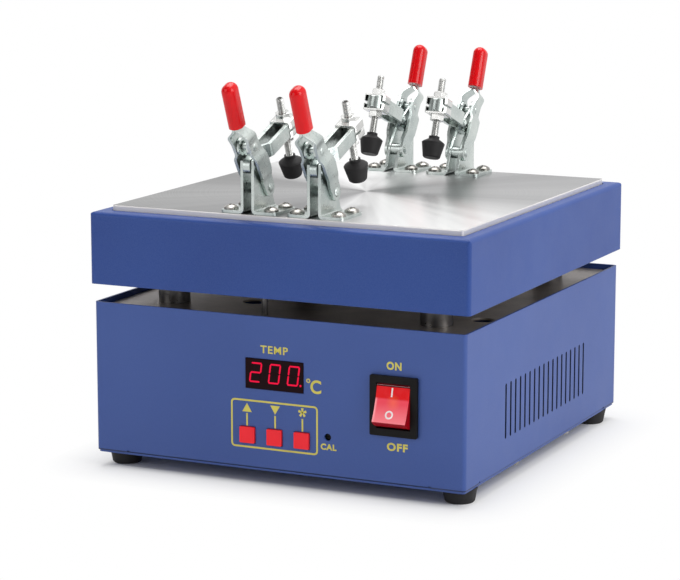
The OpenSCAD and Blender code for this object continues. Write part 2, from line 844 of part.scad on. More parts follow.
function ease(t) = (1 - cos(180*t))/2;

// Points that lead from one station [place, offset] to the next, smoothly where the offset changes
function eased(line, extra, steps) = concat([for (i = [0 : len(line) - 2])
  let (a = line[i], b = line[i + 1], n = a[1] == b[1] ? 1 : steps)
  for (k = [0 : n - 1]) [a[0] + (b[0] - a[0])*k/n, a[1] + (b[1] - a[1])*ease(k/n) + extra]],
  [[line[len(line) - 1][0], line[len(line) - 1][1] + extra]]);
function swapped(points) = [for (p = points) [p[1], p[0]]];
function reversed(points) = [for (i = [len(points) - 1 : -1 : 0]) points[i]];

// Half of the strip from above, drawn as (x, y)
module strip_half() {
  steps = 6;
  line = [[-tail_r, 0], [joggle_y, 0], [joggle_y + joggle_l, slot_w/2], [slot_end, slot_w/2]];
  polygon(swapped(concat(eased(line, 0, steps), reversed(eased(line, bar_t, steps)))));
}

module arm_plan() {
  strip_half();
  mirror([1, 0]) strip_half();
  translate([0, slot_end]) intersection() {
    difference() {
      circle(bar_half);
      circle(slot_w/2);
    }
    translate([-bar_half, 0]) square([2*bar_half, bar_half]);
  }
}

module arm_outline() {
  neck_y = joggle_y + bar_h/2;
  lobe([0, 0], tail_r, link_pin, eye_r);
  lobe(link_pin, eye_r, [neck_y, bar_lift], bar_h/2);
  translate([neck_y, bar_lift - bar_h/2]) square([bar_end - neck_y - bar_round, bar_h]);
  translate([neck_y, bar_lift - bar_h/2 + bar_round]) square([bar_end - neck_y, bar_h - 2*bar_round]);
  for (s = [-1, 1]) translate([bar_end - bar_round, bar_lift + s*(bar_h/2 - bar_round)]) circle(bar_round);
}

module clamp_arm() {
  color(zinc) at_arm() {
    difference() {
      intersection() {
        translate([0, 0, -bar_h]) linear_extrude(2*bar_h) arm_plan();
        side_slab(4*bar_half) arm_outline();
      }
      for (p = [[0, 0], link_pin]) on_axis(p) cylinder(r = rivet_r + snug, h = 4*bar_half, center = true);
    }
    on_axis(link_pin) rivet(link_x + link_t + slip);
  }
}

// Spindle, nuts and washers, and rubber tip, on the bar

nut_af = 7;
nut_h = 3.2;
washer_t = 1.1;
washer_r = 7.4;
washer_l = 10.5;
washer_skirt = 3;
washer_bend_r = 1.8;
tip_socket = 4.2;
tip_top = spindle_down - tip_socket;
tip_neck_r = 3;
tip_neck_h = 1.4;
tip_shoulder_h = 1.8;

module on_bar() {
  at_arm() translate([0, spindle_reach, bar_lift]) children();
}

module clamp_spindle() {
  tip_chamfer = 0.5;
  color(zinc) on_bar() rotate_extrude() polygon([
    [0, -spindle_down], [spindle_r - tip_chamfer, -spindle_down], [spindle_r, -spindle_down + tip_chamfer],
    [spindle_r, spindle_up - tip_chamfer], [spindle_r - tip_chamfer, spindle_up], [0, spindle_up]]);
}

// Hexagon nut on the XY plane, its upper corners chamfered
module hex_nut(bore) {
  corner_r = nut_af/sqrt(3);
  difference() {
    intersection() {
      cylinder(r = corner_r, h = nut_h, $fn = 6);
      cylinder(r1 = nut_af/2 + nut_h*1.6, r2 = nut_af/2, h = nut_h);
    }
    translate([0, 0, -overrun]) cylinder(r = bore, h = nut_h + 2*overrun);
  }
}

// Washer whose two sides are turned down over the bar
module skirted_washer(bore) {
  inner = bar_half + slip;
  difference() {
    intersection() {
      translate([0, 0, -washer_skirt]) rotate([90, 0, 0]) linear_extrude(washer_l, center = true)
        round_topped(2*inner + 2*washer_t, washer_skirt + washer_t, washer_bend_r);
      translate([0, 0, -washer_skirt]) cylinder(r = washer_r, h = 2*washer_skirt);
    }
    translate([-inner, -washer_l, -washer_skirt - overrun]) cube([2*inner, 2*washer_l, washer_skirt + overrun]);
    translate([0, 0, -overrun]) cylinder(r = bore, h = washer_t + 2*overrun);
  }
}

module clamp_nuts() {
  color(zinc) on_bar() for (s = [0, 1]) mirror([0, 0, s]) {
    translate([0, 0, bar_h/2 + snug]) skirted_washer(spindle_r + snug);
    translate([0, 0, bar_h/2 + snug + washer_t]) hex_nut(spindle_r + snug);
  }
}

module clamp_tip() {
  edge = 0.6;
  color(dark) on_bar() translate([0, 0, -tip_top]) rotate_extrude() polygon([
    [spindle_r + snug, 0], [tip_neck_r, 0], [tip_neck_r, -tip_neck_h],
    [tip_r - edge, -tip_neck_h - tip_shoulder_h], [tip_r, -tip_neck_h - tip_shoulder_h - edge],
    [tip_face_r + edge/2, -tip_h + edge], [tip_face_r - edge/2, -tip_h],
    [0, -tip_h], [0, -tip_socket - snug], [spindle_r + snug, -tip_socket - snug]]);
}

// Handle: two wavy plates that straddle the ears, close on the links and meet in the grip

link_x = bar_t + slip;
pin_x = ear_out + slip;
bulge_x = ear_out + head_h + 0.4;
pinch_x = link_x + link_t + 0.25;
shoulder_x = pinch_x + 0.8;
tang_x = snug;
tang_l = 20;
tang_r = 3.4;
handle_foot_r = 4.5;
handle_belly_r = 5.8;
handle_eye_r = 4.9;
belly = [-3.2, 16];
handle_pin = [-6.2, 27.4];
grip_y = -11;
flat_half = 2.7; // half height of the plates' flat place at the link's pin
small_head_r = 2.3;
small_head_h = 0.7;

module at_handle() {
  translate([0, handle_pivot_y, handle_pivot_z]) rotate([handle_tilt, 0, 0]) children();
}

module handle_outline() {
  neck = [grip_y, handle_neck - tang_r/2];
  lobe([0, 0], handle_foot_r, belly, handle_belly_r);
  lobe(belly, handle_belly_r, handle_pin, handle_eye_r);
  lobe(handle_pin, handle_eye_r, neck, tang_r);
  lobe(neck, tang_r, [grip_y, handle_neck + tang_l - tang_r], tang_r);
}

// Edge of one plate seen from the front, as [height, offset of its inner face] stations
handle_wave = [
  [-handle_foot_r - overrun, pin_x], [handle_foot_r, pin_x],
  [belly[1] - 4.8, bulge_x], [belly[1] + 4.4, bulge_x],
  [handle_pin[1] - flat_half, pinch_x], [handle_pin[1] + flat_half, pinch_x],
  [(handle_pin[1] + handle_neck)/2, shoulder_x],
  [handle_neck - overrun, tang_x], [handle_neck + tang_l + overrun, tang_x]];

module clamp_handle() {
  steps = 6;
  color(zinc) at_handle() {
    both_sides() difference() {
      intersection() {
        side_slab(4*bulge_x) handle_outline();
        translate([0, -handle_neck, 0]) panel_slab(2*handle_neck)
          polygon(swapped(concat(eased(handle_wave, 0, steps), reversed(eased(handle_wave, handle_t, steps)))));
      }
      for (p = [[0, 0], handle_pin]) on_axis(p) cylinder(r = rivet_r + snug, h = 4*bulge_x, center = true);
    }
    on_axis(handle_pin) rivet(pinch_x + handle_t + snug, small_head_r, small_head_h);
  }
}

module grip_section(w, t) {
  square([t, w - t], center = true);
  for (s = [-1, 1]) translate([0, s*(w - t)/2]) circle(t/2);
}

module clamp_grip() {
  straight = grip_l - grip_t/2;
  color(vinyl_red) at_handle() translate([0, grip_y, handle_neck]) difference() {
    union() {
      linear_extrude(straight) grip_section(grip_w, grip_t);
      for (s = [-1, 1]) translate([0, s*(grip_w - grip_t)/2, straight]) sphere(grip_t/2);
      translate([0, 0, straight]) rotate([90, 0, 0]) cylinder(r = grip_t/2, h = grip_w - grip_t, center = true);
    }
    translate([0, 0, -overrun]) linear_extrude(tang_l + overrun + snug)
      square([2*(tang_x + handle_t + snug), 2*(tang_r + snug)], center = true);
  }
}

// Link: two plates between the arm's pin and the handle's, in the arm's frame at rest

link_eye_r = 3;
link_head_r = 4.6;
link_waist = 2.8;
link_play = 1.4; // how far the hole at the handle's pin is opened past it

function turned(p, a) = [p[0]*cos(a) - p[1]*sin(a), p[0]*sin(a) + p[1]*cos(a)];
link_low = arm_pivot + turned(link_pin, arm_tilt);
link_high = handle_pivot + turned(handle_pin, handle_tilt);

module clamp_link() {
  color(zinc) both_sides() difference() {
    translate([link_x + link_t/2, 0, 0]) side_slab(link_t) {
      lobe(link_low, link_waist, link_high, link_waist);
      translate(link_low) circle(link_eye_r);
      translate(link_high) circle(link_head_r);
    }
    on_axis(link_low) cylinder(r = rivet_r + snug, h = 4*bar_half, center = true);
    on_axis(link_high) cylinder(r = rivet_r + link_play, h = 4*bar_half, center = true);
  }
}

module clamp_part(p) {
  if (p == "base") clamp_base();
  if (p == "arm") clamp_arm();
  if (p == "spindle") clamp_spindle();
  if (p == "nuts") clamp_nuts();
  if (p == "tip") clamp_tip();
  if (p == "handle") clamp_handle();
  if (p == "grip") clamp_grip();
  if (p == "link") clamp_link();
}

base_shell();
bottom_plate();
deck_plate();
rubber_feet();
case_screws();
standoffs();
upper_shell();
upper_floor();
heating_plate();
plate_posts();
heater_element();
insulation_board();
thermocouple();
display_window();
display_module();
up_button();
down_button();
set_button();
button_board();
switch_bezel();
power_rocker();
calibration_trimmer();
main_board();
transformer();
heatsink();
cord_gland();
clamp_screws();
base_rivets();
for (i = [0 : 3], p = clamp_parts)
  at_clamp(i) clamp_part(p);
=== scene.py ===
import json
import math

import bmesh
import bpy
from mathutils import Matrix, Vector

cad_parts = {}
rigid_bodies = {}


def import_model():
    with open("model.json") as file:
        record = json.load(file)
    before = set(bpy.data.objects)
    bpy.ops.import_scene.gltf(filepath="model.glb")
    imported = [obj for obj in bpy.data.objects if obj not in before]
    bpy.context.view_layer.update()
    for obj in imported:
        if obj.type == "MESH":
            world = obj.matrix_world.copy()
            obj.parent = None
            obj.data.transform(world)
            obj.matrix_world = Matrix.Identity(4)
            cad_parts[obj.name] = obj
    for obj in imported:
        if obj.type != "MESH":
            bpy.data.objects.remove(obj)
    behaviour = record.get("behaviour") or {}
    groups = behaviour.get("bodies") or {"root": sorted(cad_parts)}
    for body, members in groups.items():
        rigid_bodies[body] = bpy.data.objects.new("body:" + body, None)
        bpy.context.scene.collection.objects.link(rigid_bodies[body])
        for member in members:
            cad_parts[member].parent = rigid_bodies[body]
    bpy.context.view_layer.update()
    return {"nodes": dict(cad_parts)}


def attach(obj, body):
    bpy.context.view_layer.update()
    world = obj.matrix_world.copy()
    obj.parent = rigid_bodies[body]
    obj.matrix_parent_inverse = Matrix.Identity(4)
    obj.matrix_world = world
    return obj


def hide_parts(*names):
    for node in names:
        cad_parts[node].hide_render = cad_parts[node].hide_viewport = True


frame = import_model()
nodes = frame["nodes"]
mm = 0.001
clampNames = ("front_left", "front_right", "rear_left", "rear_right")
clampsOf = lambda part: [name + "_" + part for name in clampNames]
print("frame loaded:", len(nodes), "nodes")


# camera and light

view = {"place": (0.5811, -1.2624, 0.3405), "turn": (79.58, 0, 25.306), "lens": 136.26, "sensor": 36}
camera = bpy.data.objects.new("camera", bpy.data.cameras.new("camera"))
camera.location = view["place"]
camera.rotation_euler = [math.radians(a) for a in view["turn"]]
camera.data.lens = view["lens"]
camera.data.sensor_width = view["sensor"]
bpy.context.scene.collection.objects.link(camera)
bpy.context.scene.camera = camera
bpy.context.scene.view_settings.view_transform = "Standard"

lampAim = Vector((0, 0, 0.1))
lamps = {
    "keyLamp": {"place": (1.6, -0.3, 0.9), "size": 1.1, "watts": 17},
    "topLamp": {"place": (-0.1, 0.3, 1.7), "size": 1.3, "watts": 22},
    "fillLamp": {"place": (-0.9, -1.7, 0.8), "size": 1.2, "watts": 8},
}
for name, lamp in lamps.items():
    data = bpy.data.lights.new(name, "AREA")
    data.size = lamp["size"]
    data.energy = lamp["watts"]
    made = bpy.data.objects.new(name, data)
    made.location = lamp["place"]
    made.rotation_euler = (lampAim - made.location).to_track_quat("-Z", "Y").to_euler()
    bpy.context.scene.collection.objects.link(made)


# finishes

class Wire:  # a socket, so that shader maths reads as plain sums
    def __init__(self, finish, socket):
        self.finish, self.socket = finish, socket

    def __add__(self, other): return self.finish.maths("ADD", self, other)
    def __radd__(self, other): return self.finish.maths("ADD", other, self)
    def __sub__(self, other): return self.finish.maths("SUBTRACT", self, other)
    def __rsub__(self, other): return self.finish.maths("SUBTRACT", other, self)
    def __mul__(self, other): return self.finish.maths("MULTIPLY", self, other)
    def __rmul__(self, other): return self.finish.maths("MULTIPLY", other, self)
    def __truediv__(self, other): return self.finish.maths("DIVIDE", self, other)
    def __pow__(self, other): return self.finish.maths("POWER", self, other)
    def __lt__(self, other): return self.finish.maths("LESS_THAN", self, other)
    def __gt__(self, other): return self.finish.maths("GREATER_THAN", self, other)


def rgb(r, g, b):  # screen colour to the shader's linear one
    curve = lambda c: c / 12.92 if c <= 0.04045 else ((c + 0.055) / 1.055) ** 2.4
    return (*[curve(c / 255) for c in (r, g, b)], 1)


class Finish:  # the node tree of a material, or of the world
    def __init__(self, name, tree=None):
        if tree is None:
            self.material = bpy.data.materials.new(name)
            self.material.use_nodes = True
            tree = self.material.node_tree
        self.tree = tree
        self.tree.nodes.clear()

    def node(self, kind, settings, sockets, output=0):
        made = self.tree.nodes.new(kind)
        for key, value in settings.items():
            setattr(made, key, value)
        for key, value in sockets.items():
            if isinstance(value, Wire):
                self.tree.links.new(value.socket, made.inputs[key])
            else:
                made.inputs[key].default_value = value
        return Wire(self, made.outputs[output]) if made.outputs else None

    def maths(self, how, a, b=0.0):
        return self.node("ShaderNodeMath", {"operation": how}, {0: a, 1: b})

    def place(self, centre=(0, 0, 0), size=(1, 1, 1)):
        where = self.node("ShaderNodeTexCoord", {}, {}, "Object")
        return self.node("ShaderNodeMapping", {"vector_type": "TEXTURE"},
                         {"Vector": where, "Location": centre, "Scale": size})

    def parts(self, where):
        made = self.node("ShaderNodeSeparateXYZ", {}, {"Vector": where})
        outputs = made.socket.node.outputs
        return [Wire(self, outputs[i]) for i in range(3)]

    def facing(self):
        return self.parts(self.node("ShaderNodeNewGeometry", {}, {}, "True Normal"))

    def rays(self):  # whether a ray comes from the eye, from a gloss or through a clear piece
        made = self.node("ShaderNodeLightPath", {}, {})
        outputs = made.socket.node.outputs
        return [Wire(self, outputs[kind]) for kind in ("Is Camera Ray", "Is Glossy Ray", "Is Transmission Ray")]

    def noise(self, scale, detail=3.0, rough=0.55, where=None):
        return self.node("ShaderNodeTexNoise", {}, {"Vector": where or self.place(), "Scale": scale,
                                                    "Detail": detail, "Roughness": rough})

    def line(self, along, scale, rough=0.5):  # noise along one measure only
        return self.node("ShaderNodeTexNoise", {"noise_dimensions": "1D"},
                         {"W": along, "Scale": scale, "Detail": 4.0, "Roughness": rough})

    def blend(self, share, low, high):
        return self.node("ShaderNodeMix", {"data_type": "RGBA"}, {0: share, 6: low, 7: high}, 2)

    def spread(self, value, low=0.3, high=0.7, lowTo=0.0, highTo=1.0):  # most noise lies from 0.3 to 0.7
        return self.node("ShaderNodeMapRange", {}, {"Value": value, "From Min": low, "From Max": high,
                                                    "To Min": lowTo, "To Max": highTo})

    def within(self, value, limits):
        return (value > limits[0]) * (value < limits[1])

    def bump(self, height, depth, below=None):
        sockets = {"Height": height, "Distance": depth, "Strength": 1.0}
        if below is not None:
            sockets["Normal"] = below
        return self.node("ShaderNodeBump", {}, sockets)

    def soft(self, radius):  # catches light along edges as if they were broken with a file
        return self.node("ShaderNodeBevel", {"samples": 6}, {"Radius": radius})

    def done(self, **sockets):
        names = {key.replace("_", " "): value for key, value in sockets.items()}
        shader = self.node("ShaderNodeBsdfPrincipled", {}, names)
        self.node("ShaderNodeOutputMaterial", {}, {"Surface": shader})
        return self.material


paint = {
    # the upper blues are deeper than the lower ones as painted shade, for the less light the upper housing
    # takes
    "lower": (rgb(50, 77, 144), rgb(56, 83, 150)), "upper": (rgb(20, 60, 134), rgb(28, 67, 142)),
    # the dark colour next is painted shade for the slot edges and the seam
    "cut": rgb(10, 18, 44), "speck": rgb(84, 110, 176), "speckShare": 0.12, "seamShadeShare": 0.85,
    "rough": 0.4, "uneven": 0.1, "gloss": 0.44, "peel": 0.02 * mm, "edge": 0.5 * mm,
    "gap": (90 * mm, 98 * mm), "seam": (9.15 * mm, 9.8 * mm),
    "slotX": 104 * mm, "slotY": 90 * mm, "slotZ": (22 * mm, 56 * mm), "sideways": 0.3,
}


def bluePaint():  # powder coat: fine orange peel and a faint random tone drift; the slot edges and the seam are painted dark as painted shade, and the upper housing a deeper blue as painted shade
    f = Finish("blue powder coat")
    drift = f.spread(f.noise(9.0, 2.0), 0.35, 0.65)
    speck = f.spread(f.noise(2600.0, 2.0), 0.4, 0.6)
    peel = f.noise(820.0, 2.0, 0.5)
    x, y, z = f.parts(f.place())
    acrossY = f.facing()[1]
    # painted shade: the cut edges across the vent slots and the seam band above the bottom plate take the dark
    # colour
    slotShadeMask = (x * x > paint["slotX"] ** 2) * (y * y < paint["slotY"] ** 2) * f.within(z, paint["slotZ"])
    slotShadeMask = slotShadeMask * (acrossY * acrossY > paint["sideways"])
    seamShadeMask = f.within(z, paint["seam"])
    lower, upper = f.blend(drift, *paint["lower"]), f.blend(drift, *paint["upper"])
    # painted shade: above the gap the upper housing takes the deeper blue
    colour = f.blend(f.spread(z, *paint["gap"]), lower, upper)
    colour = f.blend(slotShadeMask + seamShadeMask * paint["seamShadeShare"], colour, paint["cut"])
    return f.done(Base_Color=f.blend(speck * paint["speckShare"], colour, paint["speck"]),
                  Roughness=paint["rough"] + f.noise(60.0) * paint["uneven"],
                  Normal=f.bump(peel, paint["peel"], f.soft(paint["edge"])),
                  Specular_IOR_Level=paint["gloss"])


def steel(name, dark, light, rough, metal=1.0, grain=(1, 1, 1), scratch=0.008 * mm, cloud=55.0, edge=0.3 * mm):
    f = Finish(name)
    clouds = f.spread(f.noise(cloud, 4.0, 0.6))
    streaks = f.noise(500.0, 3.0, 0.6, f.place(size=grain))
    return f.done(Base_Color=f.blend(clouds, dark, light), Metallic=metal,
                  Roughness=f.spread(streaks, lowTo=rough * 0.8, highTo=rough * 1.3),
                  Normal=f.bump(streaks, scratch, f.soft(edge)))


turned = {
    "face": 139.65 * mm,  # above this the rings, below it the plain rim
    "highlightFans": ((316, 0.88), (112, 0.84)),  # each painted highlight fan's direction and width
    # painted highlight: the fans' edge fade and ragged spread, and the bright grey they are painted in
    "fade": 0.22, "ragged": 0.16, "fanHighlight": rgb(226, 226, 226),
    # painted shade: the two greys darken the plate towards its left
    "shaded": (rgb(98, 98, 99), rgb(138, 138, 140)), "across": (-90 * mm, 30 * mm),
    "ring": rgb(200, 200, 200), "ringShare": 0.2, "wander": 0.06 * mm, "groove": 0.02 * mm,
    "rim": rgb(222, 219, 218), "rimMetal": 0.35, "rough": 0.26, "uneven": 0.1,
    "sheen": 0.7, "sheenTurn": 0.25,
}


def turnedPlate():  # faced on a lathe: rings round the plate's middle; the two bright fans that such rings throw are painted highlights, and the plate is painted darker towards its left as painted shade
    f = Finish("turned aluminium")
    x, y, z = f.parts(f.place())
    radius = (x * x + y * y) ** 0.5 + 0.001 * mm
    rings = f.line(radius + f.noise(30.0, 2.0) * turned["wander"], 1600.0, 0.6)
    streaks = f.line(f.maths("ARCTAN2", y, x), 7.0)
    # painted highlight: two bright fans laid into the colour at fixed directions
    highlightFans = 0.0
    for direction, width in turned["highlightFans"]:
        a = math.radians(direction)
        along = (x * math.cos(a) + y * math.sin(a)) / radius
        highlightFans = f.spread(along + (streaks - 0.5) * turned["ragged"], width - turned["fade"], 1.0) + highlightFans
    face = z > turned["face"]
    # painted shade: darker towards the left
    grey = f.blend(f.spread(x, *turned["across"]), *turned["shaded"])
    grey = f.blend(highlightFans, grey, turned["fanHighlight"])
    grey = f.blend(f.spread(rings) * turned["ringShare"], grey, turned["ring"])
    return f.done(Base_Color=f.blend(face, turned["rim"], grey),
                  Metallic=face * (1 - turned["rimMetal"]) + turned["rimMetal"],
                  Roughness=turned["rough"] + streaks * turned["uneven"],
                  Normal=f.bump(rings * face, turned["groove"]),
                  Anisotropic=turned["sheen"], Anisotropic_Rotation=turned["sheenTurn"])


def plain(name, colour, rough, gloss=0.5, texture=900.0, depth=0.01 * mm, vary=0.08):
    f = Finish(name)
    lighter = tuple(min(1, c * (1 + vary * 3) + vary * 0.02) for c in colour[:3]) + (1,)
    patch = f.spread(f.noise(70.0, 3.0))
    return f.done(Base_Color=f.blend(patch, colour, lighter),
                  Roughness=f.spread(f.noise(180.0), lowTo=rough * 0.88, highTo=rough * 1.12),
                  Normal=f.bump(f.noise(texture, 2.0), depth), Specular_IOR_Level=gloss)


# sizes in millimetres, the axis at (y, z) and the heights from the floor
rocker = {
    "x": 67.5, "axis": (-111.8, 49.6), "lean": 20, "face": 5.2, "lip": 9.58, "dish": 60,
    "shade": 53.7, "rim": (59.7, 60.3), "spot": (68.2, 52.0), "spotWide": 4.2,
    "edge": (-7.8, -8.8), "paleTo": (2.0, -7.0), "frontOn": (-0.79, -0.85),
    "marks": -0.45, "bar": (0.42, 3.9, 8.4), "barSteps": 6, "o": (2.2, 1.35, 5.3),
    # of the colours below, the deep red is the moulding's own; the pinks are painted reflection, lighter
    # towards the foot, with the pale pink laid along the lower half's left edge; the near black is a painted
    # shadow under the bezel's lip, the pale line colour a painted highlight, and the two side reds painted
    # shade
    "deep": rgb(206, 4, 10), "reflectionPink": (rgb(222, 66, 82), rgb(232, 122, 130)), "pale": rgb(250, 170, 174),
    "haze": rgb(240, 110, 120), "shadow": rgb(52, 2, 8), "lipHighlight": rgb(226, 186, 188),
    "neon": rgb(255, 150, 40), "side": rgb(140, 4, 16), "sideShadeGlow": rgb(120, 4, 20),
    "rough": 0.34, "light": 0.24, "gloss": 0.12,
}


def litRocker():  # clear red moulding over a neon lamp: the pressed half is the deeper red, its own colour; the lower half is painted pink as a painted reflection, a band under the bezel's lip is a painted shadow with a painted highlight line at its top, and the side walls are painted shade
    f = Finish("lit red rocker")
    axis = rocker["axis"][1]
    x, y, z = f.parts(f.place((rocker["x"] * mm, 0, axis * mm)))
    front = f.spread(f.facing()[1], *rocker["frontOn"])
    shade, shadowFoot, highlightLineFoot = [(up - axis) * mm for up in (rocker["shade"], *rocker["rim"])]
    # painted reflection: below the shade line the face takes the pink colours, paler towards its foot and along
    # its left edge
    low = f.spread(z, shade + 0.5 * mm, shade - 0.5 * mm)
    foot = f.spread(z, *[up * mm for up in rocker["paleTo"]])
    edge = f.spread(x, *[across * mm for across in rocker["edge"]])
    spotX, spotZ = rocker["spot"]
    dx, dz = x - (spotX - rocker["x"]) * mm, z - (spotZ - axis) * mm
    spot = f.spread((dx * dx + dz * dz) ** 0.5, rocker["spotWide"] * mm, 0.0)
    haze = f.spread(f.noise(260.0, 3.0))
    base = f.blend(edge * 0.7, f.blend(foot, *rocker["reflectionPink"]), rocker["pale"])
    base = f.blend(low, rocker["deep"], base)
    base = f.blend(haze * 0.06, base, rocker["haze"])
    # painted shadow under the bezel's lip, with a painted highlight line at its top
    base = f.blend(z > shadowFoot, base, f.blend(z > highlightLineFoot, rocker["shadow"], rocker["lipHighlight"]))
    glow = f.blend(spot * 0.9, base, rocker["neon"])
    # painted shade: faces turned away from the front take the darker side reds, in colour and in glow
    return f.done(Base_Color=f.blend(front, rocker["side"], base), Roughness=rocker["rough"],
                  Emission_Color=f.blend(front, rocker["sideShadeGlow"], glow), Emission_Strength=rocker["light"],
                  Normal=f.bump(f.noise(300.0), 0.01 * mm), Specular_IOR_Level=rocker["gloss"])


def ledGlow(name, colour, strength):
    f = Finish(name)
    speck = f.spread(f.noise(1500.0))
    return f.done(Base_Color=f.blend(speck, rgb(90, 0, 14), rgb(110, 6, 24)), Roughness=0.4,
                  Emission_Color=f.blend(speck, colour, rgb(250, 26, 72)), Emission_Strength=strength,
                  Specular_IOR_Level=0.05)


def layered(name, dark, light, pitch, rough):  # edges of stacked sheets
    f = Finish(name)
    up = f.parts(f.place())[2]
    bands = f.maths("PINGPONG", up, pitch) / pitch
    return f.done(Base_Color=f.blend(bands * f.noise(120.0, 4.0) * 1.6, dark, light), Roughness=rough,
                  Normal=f.bump(bands, 0.1 * mm))


def woolBoard():
    f = Finish("ceramic wool")
    fibres = f.noise(420.0, 6.0, 0.75)
    return f.done(Base_Color=f.blend(fibres, rgb(196, 190, 176), rgb(240, 236, 224)), Roughness=0.95,
                  Normal=f.bump(fibres, 0.6 * mm))


def boardGreen():
    f = Finish("circuit board green")
    traces = f.node("ShaderNodeTexVoronoi", {"feature": "DISTANCE_TO_EDGE"},
                    {"Vector": f.place(), "Scale": 240.0})
    return f.done(Base_Color=f.blend(f.spread(traces, 0.04, 0.07), rgb(30, 118, 66), rgb(14, 84, 44)),
                  Roughness=0.4, Normal=f.bump(f.spread(traces, 0.03, 0.09), 0.03 * mm))


brushed = (1, 0.02, 1)  # grain drawn out across the part
finishes = {
    "blue": bluePaint(),
    "deck": steel("brushed deck steel", rgb(150, 142, 137), rgb(182, 173, 166), 0.36,
                  metal=0.78, grain=brushed),
    "turned": turnedPlate(),
    "alloy": steel("bare aluminium", rgb(176, 178, 180), rgb(206, 206, 206), 0.34),
    # painted shade: the spacers take a darker metal than the plate posts, for the shade of the gap they stand
    # in
    "spacers": steel("dull spacer steel", rgb(84, 84, 86), rgb(122, 120, 118), 0.32),
    "zinc": steel("zinc plated steel", rgb(172, 182, 180), rgb(212, 218, 214), 0.3,
                  scratch=0.002 * mm, cloud=45.0),
    "screws": steel("nickel screws", rgb(112, 110, 106), rgb(176, 173, 168), 0.24),
    "hardware": steel("nickel hardware", rgb(188, 188, 186), rgb(224, 224, 222), 0.22),
    "rubber": plain("black rubber", rgb(30, 29, 30), 0.6, 0.3, 1400.0, 0.04 * mm),
    "vinyl": plain("dipped red vinyl", rgb(210, 0, 10), 0.17, 0.3, 500.0, vary=0.04),
    "keys": plain("red key plastic", rgb(252, 44, 54), 0.42, 0.2, 1500.0, vary=0.03),
    "rocker": litRocker(),
    "black": plain("black moulding", rgb(16, 15, 15), 0.5, 0.14, 2200.0, 0.02 * mm),
    "lens": plain("dark red lens", rgb(26, 4, 9), 0.2, 0.08, 300.0, 0.002 * mm, 0.02),
    "board": boardGreen(),
    "iron": layered("stacked iron sheets", rgb(34, 34, 36), rgb(92, 90, 88), 0.5 * mm, 0.6),
    "mica": layered("mica sheet", rgb(96, 84, 66), rgb(150, 136, 112), 0.4 * mm, 0.5),
    "wool": woolBoard(),
    "yellow": plain("yellow print", rgb(206, 194, 84), 0.55, texture=3000.0, vary=0.05),
    "white": plain("white print", rgb(240, 232, 230), 0.5, texture=3000.0, vary=0.03),
    "led": ledGlow("lit segment", rgb(236, 10, 56), 0.9),
    "unlit": plain("unlit segment", rgb(30, 6, 10), 0.5, 0.05, depth=0.004 * mm),
}

wears = {
    "blue": ["base_shell", "bottom_plate", "upper_shell"],
    "deck": ["deck_plate", "upper_floor"],
    "turned": ["heating_plate"],
    "alloy": ["plate_posts", "heatsink"],
    "spacers": ["standoffs"],
    "zinc": ["base_rivets"] + [n for part in ("base", "arm", "handle", "link") for n in clampsOf(part)],
    "screws": ["case_screws", "clamp_screws"],
    "hardware": ["thermocouple"] + clampsOf("spindle") + clampsOf("nuts"),
    "rubber": ["rubber_feet"] + clampsOf("tip"),
    "vinyl": clampsOf("grip"),
    "keys": ["up_button", "down_button", "set_button"],
    "rocker": ["power_rocker"],
    "black": ["switch_bezel", "cord_gland", "display_module", "calibration_trimmer"],
    "lens": ["display_window"],
    "board": ["main_board", "button_board"],
    "iron": ["transformer"],
    "mica": ["heater_element"],
    "wool": ["insulation_board"],
}
for finish, wearers in wears.items():
    for name in wearers:
        wearer = nodes[name].data
        wearer.materials.clear()
        wearer.materials.append(finishes[finish])
print("finishes on", sum(len(w) for w in wears.values()), "nodes")


# helpers that make and place pieces

def clearSelection():
    if bpy.context.object and bpy.context.object.mode != "OBJECT":
        bpy.ops.object.mode_set(mode="OBJECT")
    for o in bpy.context.scene.objects:
        o.select_set(False)


def onBench():  # the primitive or text just made
    return bpy.context.object


def pick(piece):
    clearSelection()
    piece.select_set(True)
    bpy.context.view_layer.objects.active = piece
    return piece


def settle(piece):  # its place goes into its mesh
    pick(piece)
    bpy.ops.object.transform_apply(location=True, rotation=True, scale=True)
    return piece


def toMesh(piece):
    pick(piece)
    bpy.ops.object.convert(target="MESH")
    return onBench()


def twin(piece, name, matrix):
    copy = bpy.data.objects.new(name, piece.data.copy())
    bpy.context.scene.collection.objects.link(copy)
    copy.data.transform(matrix)
    return copy


def join(pieces, name):
    clearSelection()
    for piece in pieces:
        piece.select_set(True)
    bpy.context.view_layer.objects.active = pieces[0]
    if len(pieces) > 1:
        bpy.ops.object.join()
    pieces[0].name = name
    return pieces[0]


def finishPiece(piece, finish, body):
    piece.data.materials.clear()
    piece.data.materials.append(finishes[finish])
    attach(piece, body)
    return piece


def fitInto(piece, low, high):  # stretches a mesh to fill a box
    co = [v.co for v in piece.data.vertices]
    was = [Vector([how(c[i] for c in co) for i in range(3)]) for how in (min, max)]
    size = [(high[i] - low[i]) / max(was[1][i] - was[0][i], 1e-9) for i in range(3)]
    piece.data.transform(Matrix.Translation(low) @ Matrix.Diagonal((*size, 1)) @ Matrix.Translation(-was[0]))
    return piece


# printed marks on the panel

panel = {"face": -0.112, "foot": 9.2 * mm, "ink": 0.05 * mm}


def panelBox(x0, x1, z0, z1):  # box on the panel's face, sizes in millimetres from its lower edge
    y = panel["face"]
    return (Vector((x0 * mm, y - panel["ink"], panel["foot"] + z0 * mm)),
            Vector((x1 * mm, y + panel["ink"], panel["foot"] + z1 * mm)))


